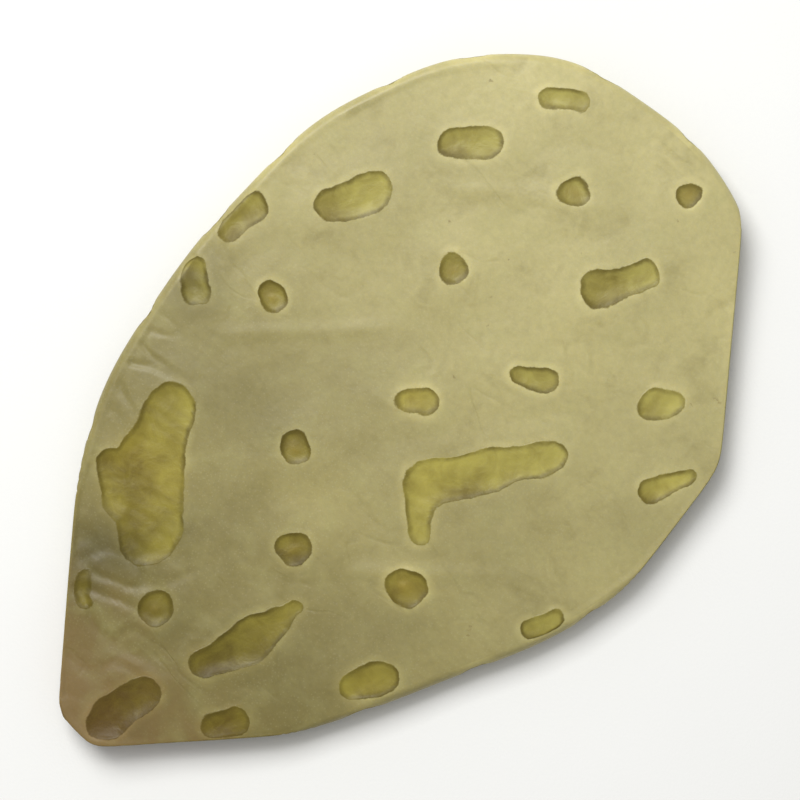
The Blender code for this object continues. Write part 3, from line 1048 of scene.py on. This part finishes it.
cut = add(tree, "Attribute", "Fac", attribute_name="cut_distance")
depth = add(tree, "Attribute", "Fac", attribute_name="floor_depth")
stub = add(tree, "Attribute", "Fac", attribute_name="stub")
trimmed = add(tree, "Attribute", "Fac", attribute_name="trim_depth")
centred = add(tree, "Math", "Value", {0: speckle, 1: 0.5}, operation="SUBTRACT")
edge_line = add(
    tree, "Math", "Value", {0: centred, 1: RAGGED_CUT, 2: cut}, operation="MULTIPLY_ADD"
)
inside_cut = add(
    tree, "MapRange", "Result",
    {"Value": edge_line, "From Min": 0.17, "From Max": -0.17},
    interpolation_type="SMOOTHSTEP",
)
ragged_trim = add(
    tree, "Math", "Value", {0: centred, 1: RAGGED_TRIM, 2: trimmed}, operation="MULTIPLY_ADD"
)
inside_edge = add(
    tree, "MapRange", "Result",
    {"Value": ragged_trim, "From Min": 0.0, "From Max": 0.14},
    interpolation_type="SMOOTHSTEP",
)
inside = add(tree, "Math", "Value", {0: inside_cut, 1: inside_edge}, operation="MAXIMUM")
print("the line between skin and flesh wanders by", RAGGED_CUT, "mm")

# %% [markdown]
# Under the skin the flesh is wet, clear and golden. Light goes deeper into it before it comes back,
# so it looks darker than the skin. The deeper the cut, the darker and browner its colour is drawn:
# painted shade of the recess. Marbling and bruises, the flesh's own colour, are added to the depth.
# The flesh is browner towards the stem end and paler towards the tip, so a tint that follows the same
# change as the skin is multiplied over it.

# %% Flesh colour in the cuts, darker with depth as painted shade
SHALLOW_FLESH = colour("#A89D51")
# The deep colour is partly the flesh's own and partly painted shade of the recess.
DEEP_FLESH_AND_SHADE = colour("#635313")
STEM_SIDE_FLESH_TINT = (0.77, 0.74, 0.33, 1)  # linear
TIP_SIDE_FLESH_TINT = (1.14, 1.18, 1.3, 1)
MARBLING_SIZE = 5.5
BRUISE_SIZE = 12
MARBLED_DEPTH = 0.85  # millimetres of depth that both noises at their highest stand for

marbling = add(
    tree, "TexNoise", "Fac",
    {
        "Vector": place, "Scale": per(MARBLING_SIZE), "Detail": 5, "Roughness": 0.6,
        "Distortion": 0.8,
    },
)
bruises = add(
    tree, "TexNoise", "Fac",
    {"Vector": place, "Scale": per(BRUISE_SIZE), "Detail": 2, "Roughness": 0.5, "Distortion": 0.4},
)
marbled = add(tree, "Math", "Value", {0: marbling, 1: bruises}, operation="ADD")
marbled_depth = add(
    tree, "Math", "Value", {0: marbled, 1: MARBLED_DEPTH, 2: depth}, operation="MULTIPLY_ADD"
)
depth_shade_share = add(
    tree, "MapRange", "Result", {"Value": marbled_depth, "From Min": 1.02, "From Max": 1.85}
)
flesh = add(
    tree, "Mix", MIXED,
    {FACTOR: depth_shade_share, FIRST: SHALLOW_FLESH, SECOND: DEEP_FLESH_AND_SHADE},
    data_type="RGBA",
)
flesh_tint = add(
    tree, "Mix", MIXED,
    {FACTOR: tipward_share, FIRST: STEM_SIDE_FLESH_TINT, SECOND: TIP_SIDE_FLESH_TINT},
    data_type="RGBA", clamp_result=False,
)
tinted_flesh = add(tree, "VectorMath", "Vector", {0: flesh, 1: flesh_tint}, operation="MULTIPLY")
print("marbling and bruises are", MARBLING_SIZE, BRUISE_SIZE, "mm wide")

# %% [markdown]
# Parts of a cut are darkest just inside the outline: painted shade, where the curled-in skin shades
# the flesh. The cushion's stub, left in the middle of a pit, is paler and drier.

# %% Shaded rim and stub
SHADED_FLESH = colour("#584C12")
STUB_COLOUR = colour("#97853A")
STUB_SHARE = 0.5

rim_near = add(
    tree, "MapRange", "Result",
    {"Value": edge_line, "From Min": -1.4, "From Max": -0.2},
    interpolation_type="SMOOTHSTEP",
)
rim_part = add(
    tree, "MapRange", "Result",
    {"Value": mottle, "From Min": 0.36, "From Max": 0.6, "To Min": 0.25, "To Max": 0.8},
)
# Painted shade just inside a cut's outline.
rim_painted_shade = add(tree, "Math", "Value", {0: rim_near, 1: rim_part}, operation="MULTIPLY")
rim_shaded_flesh = add(
    tree, "Mix", MIXED,
    {FACTOR: rim_painted_shade, FIRST: tinted_flesh, SECOND: SHADED_FLESH},
    data_type="RGBA",
)
stub_share = add(tree, "Math", "Value", {0: stub, 1: STUB_SHARE}, operation="MULTIPLY")
stubbed = add(
    tree, "Mix", MIXED,
    {FACTOR: stub_share, FIRST: rim_shaded_flesh, SECOND: STUB_COLOUR},
    data_type="RGBA",
)
print("the skin has", len(tree.nodes), "nodes so far")

# %% [markdown]
# A trimmed edge shows the pad in section: a thin line of skin, an olive layer under it, and a pale
# core with a row of the pad's water vessels, cut across.

# %% Flesh colour on the trimmed edges
CORE_COLOUR = colour("#A99E68")
OUTER_LAYER = colour("#7D7238")
LAYER_WANDER = 0.5
VESSEL_GAP = 1.7
VESSEL_COLOUR = colour("#C9BD8B")

across = add(tree, "Attribute", "Fac", attribute_name="across_edge")
from_core = add(tree, "Math", "Value", {0: across}, operation="ABSOLUTE")
wavy_core = add(
    tree, "Math", "Value", {0: centred, 1: LAYER_WANDER, 2: from_core}, operation="MULTIPLY_ADD"
)
layer_share = add(
    tree, "MapRange", "Result",
    {"Value": wavy_core, "From Min": 0.3, "From Max": 0.75},
    interpolation_type="SMOOTHSTEP",
)
section = add(
    tree, "Mix", MIXED,
    {FACTOR: layer_share, FIRST: CORE_COLOUR, SECOND: OUTER_LAYER},
    data_type="RGBA",
)
vessel = add(
    tree, "TexVoronoi", "Distance", {"Vector": place, "Scale": per(VESSEL_GAP), "Randomness": 0.8}
)
vessel_dot = add(
    tree, "MapRange", "Result",
    {"Value": vessel, "From Min": 0.34, "From Max": 0.2},
    interpolation_type="SMOOTHSTEP",
)
core_only = add(
    tree, "MapRange", "Result",
    {"Value": from_core, "From Min": 0.42, "From Max": 0.28, "To Max": 0.6},
)
vessel_share = add(tree, "Math", "Value", {0: vessel_dot, 1: core_only}, operation="MULTIPLY")
vesselled = add(
    tree, "Mix", MIXED,
    {FACTOR: vessel_share, FIRST: section, SECOND: VESSEL_COLOUR},
    data_type="RGBA",
)
print("the vessels stand", VESSEL_GAP, "mm apart")

# %% [markdown]
# The stem's end is tougher than the rest: a bundle of fibres, cut square, that has dried and
# browned. Cells of a Voronoi texture are the fibres' ends, darkest in their middles.

# %% Dry stem end
DRY_CORE = colour("#9A8255")
DRY_LAYER = colour("#6A5129")
FIBRE_GAP = 0.8

stem_end = add(tree, "Attribute", "Fac", attribute_name="stem_end")
fibre = add(
    tree, "TexVoronoi", "Distance", {"Vector": place, "Scale": per(FIBRE_GAP), "Randomness": 1}
)
dried = add(
    tree, "Mix", MIXED, {FACTOR: layer_share, FIRST: DRY_CORE, SECOND: DRY_LAYER}, data_type="RGBA"
)
fibre_light = add(
    tree, "MapRange", "Result",
    {"Value": fibre, "From Min": 0.1, "From Max": 0.6, "To Min": 0.78, "To Max": 1.1},
)
fibred = add(tree, "VectorMath", "Vector", {0: dried, "Scale": fibre_light}, operation="SCALE")
print("the fibres stand", FIBRE_GAP, "mm apart")

# %% [markdown]
# The colours are joined from the inside out: the wet flesh of cuts and trimmed edges, the stain that
# reaches it near the stem, the dry stem end, and last the skin round it all. The skin is painted a
# little paler round a cut, a painted highlight on the swelling there, and more so in some places than
# in others. The pad's paleness at each point, painted shade included, which the mesh carries, then
# scales the whole colour.

# %% Join skin and flesh
STAINED_FLESH = colour("#5E471C")
# The halo is a painted highlight on the swollen skin round each cut.
HALO_REACH = 2.0  # millimetres from a cut's outline
HALO_PAINTED_LIGHT = (0.05, 0.2)  # the least and the most that it adds

wet_flesh = add(
    tree, "Mix", MIXED, {FACTOR: inside_edge, FIRST: stubbed, SECOND: vesselled}, data_type="RGBA"
)
stained_flesh = add(
    tree, "Mix", MIXED,
    {FACTOR: stain_share, FIRST: wet_flesh, SECOND: STAINED_FLESH},
    data_type="RGBA",
)
all_flesh = add(
    tree, "Mix", MIXED, {FACTOR: stem_end, FIRST: stained_flesh, SECOND: fibred}, data_type="RGBA"
)
halo_near = add(
    tree, "MapRange", "Result",
    {"Value": edge_line, "From Min": HALO_REACH, "From Max": 0.1},
    interpolation_type="SMOOTHSTEP",
)
halo_part = add(
    tree, "MapRange", "Result",
    {
        "Value": fold_place, "From Min": 0.4, "From Max": 0.6, "To Min": HALO_PAINTED_LIGHT[0],
        "To Max": HALO_PAINTED_LIGHT[1],
    },
)
halo_painted_light = add(
    tree, "Math", "Value", {0: halo_near, 1: halo_part, 2: 1.0}, operation="MULTIPLY_ADD"
)
highlight_haloed = add(tree, "VectorMath", "Vector", {0: skin_colour, "Scale": halo_painted_light}, operation="SCALE")
joined = add(
    tree, "Mix", MIXED, {FACTOR: inside, FIRST: highlight_haloed, SECOND: all_flesh}, data_type="RGBA"
)
# The paleness also carries the painted shade of the dark patches.
paleness_and_shade = add(tree, "Attribute", "Fac", attribute_name="tone_and_shade")
pad_colour = add(tree, "VectorMath", "Vector", {0: joined, "Scale": paleness_and_shade}, operation="SCALE")
tree.links.new(pad_colour, shader.inputs["Base Color"])
print("the skin has", len(tree.nodes), "nodes so far")

# %% [markdown]
# ## Gloss and fine relief
#
# Wax scatters light a little, so the skin has a soft sheen. The cut flesh is wet, but its torn
# cells break the shine up, and the dry stem end is nearly matt.

# %% Roughness
STEM_END_ROUGHNESS = 0.6
FIRST_NUMBER, SECOND_NUMBER, MIXED_NUMBER = 2, 3, 0  # sockets of a Mix node that mixes numbers

skin_roughness = add(
    tree, "MapRange", "Result",
    {"Value": mottle, "From Min": 0.3, "From Max": 0.7, "To Min": 0.36, "To Max": 0.5},
)
flesh_roughness = add(
    tree, "MapRange", "Result",
    {"Value": marbling, "From Min": 0.35, "From Max": 0.65, "To Min": 0.4, "To Max": 0.54},
)
wet_roughness = add(
    tree, "Mix", MIXED_NUMBER,
    {FACTOR: inside, FIRST_NUMBER: skin_roughness, SECOND_NUMBER: flesh_roughness},
)
roughness = add(
    tree, "Mix", MIXED_NUMBER,
    {FACTOR: stem_end, FIRST_NUMBER: wet_roughness, SECOND_NUMBER: STEM_END_ROUGHNESS},
)
tree.links.new(roughness, shader.inputs["Roughness"])
print("the skin has", len(tree.nodes), "nodes so far")

# %% [markdown]
# Fine relief is too small for the mesh. It is worked out as a height in millimetres, which a Bump
# node turns into light and shade with its distance set to one millimetre. The skin is pebbled by
# its pores, rippled where it shrank, and dented along its wrinkles. The flesh is rough where the
# blade tore its cells.

# %% Fine relief
PEBBLE_SIZE = 0.9
PEBBLE_HEIGHT = 0.04
RIPPLE_SIZE = 3.2
RIPPLE_HEIGHT = 0.11
WRINKLE_DEPTH = 0.06
MARBLING_HEIGHT = 0.2
TORN_HEIGHT = 0.1
FIBRE_HEIGHT = 0.2

pebble = add(
    tree, "TexNoise", "Fac",
    {"Vector": place, "Scale": per(PEBBLE_SIZE), "Detail": 3, "Roughness": 0.6},
)
pebbled = add(tree, "Math", "Value", {0: pebble, 1: PEBBLE_HEIGHT}, operation="MULTIPLY")
ripple = add(tree, "TexNoise", "Fac", {"Vector": place, "Scale": per(RIPPLE_SIZE), "Detail": 2})
rippled = add(
    tree, "Math", "Value", {0: ripple, 1: RIPPLE_HEIGHT, 2: pebbled}, operation="MULTIPLY_ADD"
)
folded = add(
    tree, "Math", "Value", {0: wrinkle, 1: -WRINKLE_DEPTH, 2: rippled}, operation="MULTIPLY_ADD"
)
marbled_flesh = add(tree, "Math", "Value", {0: marbling, 1: MARBLING_HEIGHT}, operation="MULTIPLY")
torn_flesh = add(
    tree, "Math", "Value", {0: speckle, 1: TORN_HEIGHT, 2: marbled_flesh}, operation="MULTIPLY_ADD"
)
fibrous = add(tree, "Math", "Value", {0: fibre, 1: stem_end}, operation="MULTIPLY")
fibrous_flesh = add(
    tree, "Math", "Value", {0: fibrous, 1: FIBRE_HEIGHT, 2: torn_flesh}, operation="MULTIPLY_ADD"
)
height = add(
    tree, "Mix", MIXED_NUMBER,
    {FACTOR: inside, FIRST_NUMBER: folded, SECOND_NUMBER: fibrous_flesh},
)
bump = add(tree, "Bump", "Normal", {"Height": height, "Distance": MM, "Strength": 1})
tree.links.new(bump, shader.inputs["Normal"])
print("the skin has", len(tree.nodes), "nodes")

# %% [markdown]
# What is the same all over the pad is set on the shader itself. Plant flesh is mostly water and
# its skin is wax, which puts the index of refraction a little over 1.4. Salt and lime have dulled
# the wax, so its reflection is held at three quarters of what that index gives: a specular level of
# 0.5 would leave it whole. The coat is a film of brine, thinner and smoother than the wax. Light
# also travels a millimetre or so inside before it comes out again, red the furthest, which softens
# every small shadow.

# %% Wax, water and depth of light
EVERYWHERE = {
    "IOR": 1.42,
    "Specular IOR Level": 0.38,
    "Coat Weight": 0.06,
    "Coat Roughness": 0.22,
    "Coat IOR": 1.35,
    "Subsurface Weight": 0.25,
    "Subsurface Radius": (1.0, 0.8, 0.3),
    "Subsurface Scale": 1.5 * MM,
}

for socket, value in EVERYWHERE.items():
    shader.inputs[socket].default_value = value
pad_mesh.materials.append(skin)
print(skin.name, "is on", pad.name)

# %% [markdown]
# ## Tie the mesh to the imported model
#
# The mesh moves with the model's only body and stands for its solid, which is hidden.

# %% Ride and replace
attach(pad, "root")
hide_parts("cactus_pad")
print(pad.name, "stands for the packed solid")

# %% [markdown]
# ## Floor, light and camera
#
# The floor is one large flat square at the height that the pad rests on. It reaches well past the
# view, so that its border never shows.

# %% Floor sheet
FLOOR_HALF = 1.5

floor_mesh = bpy.data.meshes.new("floor")
corners = [(-1, -1), (1, -1), (1, 1), (-1, 1)]
floor_mesh.from_pydata([(x * FLOOR_HALF, y * FLOOR_HALF, 0) for x, y in corners], [], [(0, 1, 2, 3)])
floor = bpy.data.objects.new("floor", floor_mesh)
bpy.context.scene.collection.objects.link(floor)
print("the floor is", 2 * FLOOR_HALF, "m wide")

# %% [markdown]
# The sheet is pale paper. Its colour barely changes: a faint cloudiness and the tooth of the paper
# keep it from being perfectly even. Paper fibres are finer than a picture of the whole sheet can
# show, so they are drawn at 0.6 mm.

# %% Paper
PAPER_CLOUD_SIZE = 60
FIBRE_SIZE = 0.6
TOOTH_DEPTH = 0.03

paper = bpy.data.materials.new("pale_paper")
paper.use_nodes = True
tree = paper.node_tree
shader = tree.nodes["Principled BSDF"]
place = add(tree, "TexCoord", "Object")
cloudiness = add(
    tree, "TexNoise", "Fac", {"Vector": place, "Scale": per(PAPER_CLOUD_SIZE), "Detail": 3}
)
paper_colour = add(
    tree, "Mix", MIXED,
    {FACTOR: cloudiness, FIRST: colour("#EBEBE8"), SECOND: colour("#EFEFEC")},
    data_type="RGBA",
)
tree.links.new(paper_colour, shader.inputs["Base Color"])
tooth = add(tree, "TexNoise", "Fac", {"Vector": place, "Scale": per(FIBRE_SIZE), "Detail": 2})
bump = add(tree, "Bump", "Normal", {"Height": tooth, "Distance": TOOTH_DEPTH * MM, "Strength": 1})
tree.links.new(bump, shader.inputs["Normal"])
shader.inputs["Roughness"].default_value = 0.9
floor_mesh.materials.append(paper)
print("the paper has", len(tree.nodes), "nodes")

# %% [markdown]
# One large soft light stands to the upper left of the picture, as the shading of the cuts needs it
# low enough to cross the face at a slant. A second one hangs nearly overhead: the skin mirrors it
# dimly, and that sheen shows the waves of the face. A pale room all round fills the shadows.

# %% Lights
ROOM_STRENGTH = 0.4


def softbox(name, spot, size, watts):
    light = bpy.data.lights.new(name, "AREA")
    light.size = size
    light.energy = watts
    lamp = bpy.data.objects.new(name, light)
    lamp.location = spot
    lamp.rotation_euler = (-Vector(spot)).to_track_quat("-Z", "Y").to_euler()
    bpy.context.scene.collection.objects.link(lamp)


softbox("key_light", spot=(-0.55, 0.15, 0.8), size=0.5, watts=8)
softbox("sheen_light", spot=(-0.3, 0.25, 1.1), size=0.5, watts=2)
world = bpy.data.worlds.new("pale_room")
bpy.context.scene.world = world
world.use_nodes = True
room = world.node_tree.nodes["Background"]
room.inputs["Color"].default_value = (1, 1, 1, 1)
room.inputs["Strength"].default_value = ROOM_STRENGTH
bpy.context.scene.view_settings.view_transform = "Standard"  # colours stay as they were mixed

# %% [markdown]
# The camera looks straight down, turned so that the pad's stem end is at the lower left. Its
# distance follows from the outline: the pad's longer side fills most of the picture.

# %% Camera
CAMERA_TURN = math.radians(45)
LENS = 120
SENSOR = 36
FILL = 0.87

right = np.array([math.cos(CAMERA_TURN), math.sin(CAMERA_TURN)])
up = np.array([-math.sin(CAMERA_TURN), math.cos(CAMERA_TURN)])
seen = np.stack([right, up]) @ (outline + TO_SOLID[:, None])
middle = (seen.min(axis=1) + seen.max(axis=1)) / 2
extent = np.ptp(seen, axis=1).max() * MM
centre = (right * middle[0] + up * middle[1]) * MM
camera = bpy.data.cameras.new("camera")
camera.lens = LENS
camera.sensor_width = SENSOR
viewer = bpy.data.objects.new("camera", camera)
viewer.location = (centre[0], centre[1], pad_high.z + extent / FILL * LENS / SENSOR)
viewer.rotation_euler = (0, 0, CAMERA_TURN)
bpy.context.scene.collection.objects.link(viewer)
bpy.context.scene.camera = viewer
print("the camera is", round(viewer.location.z, 2), "m up")
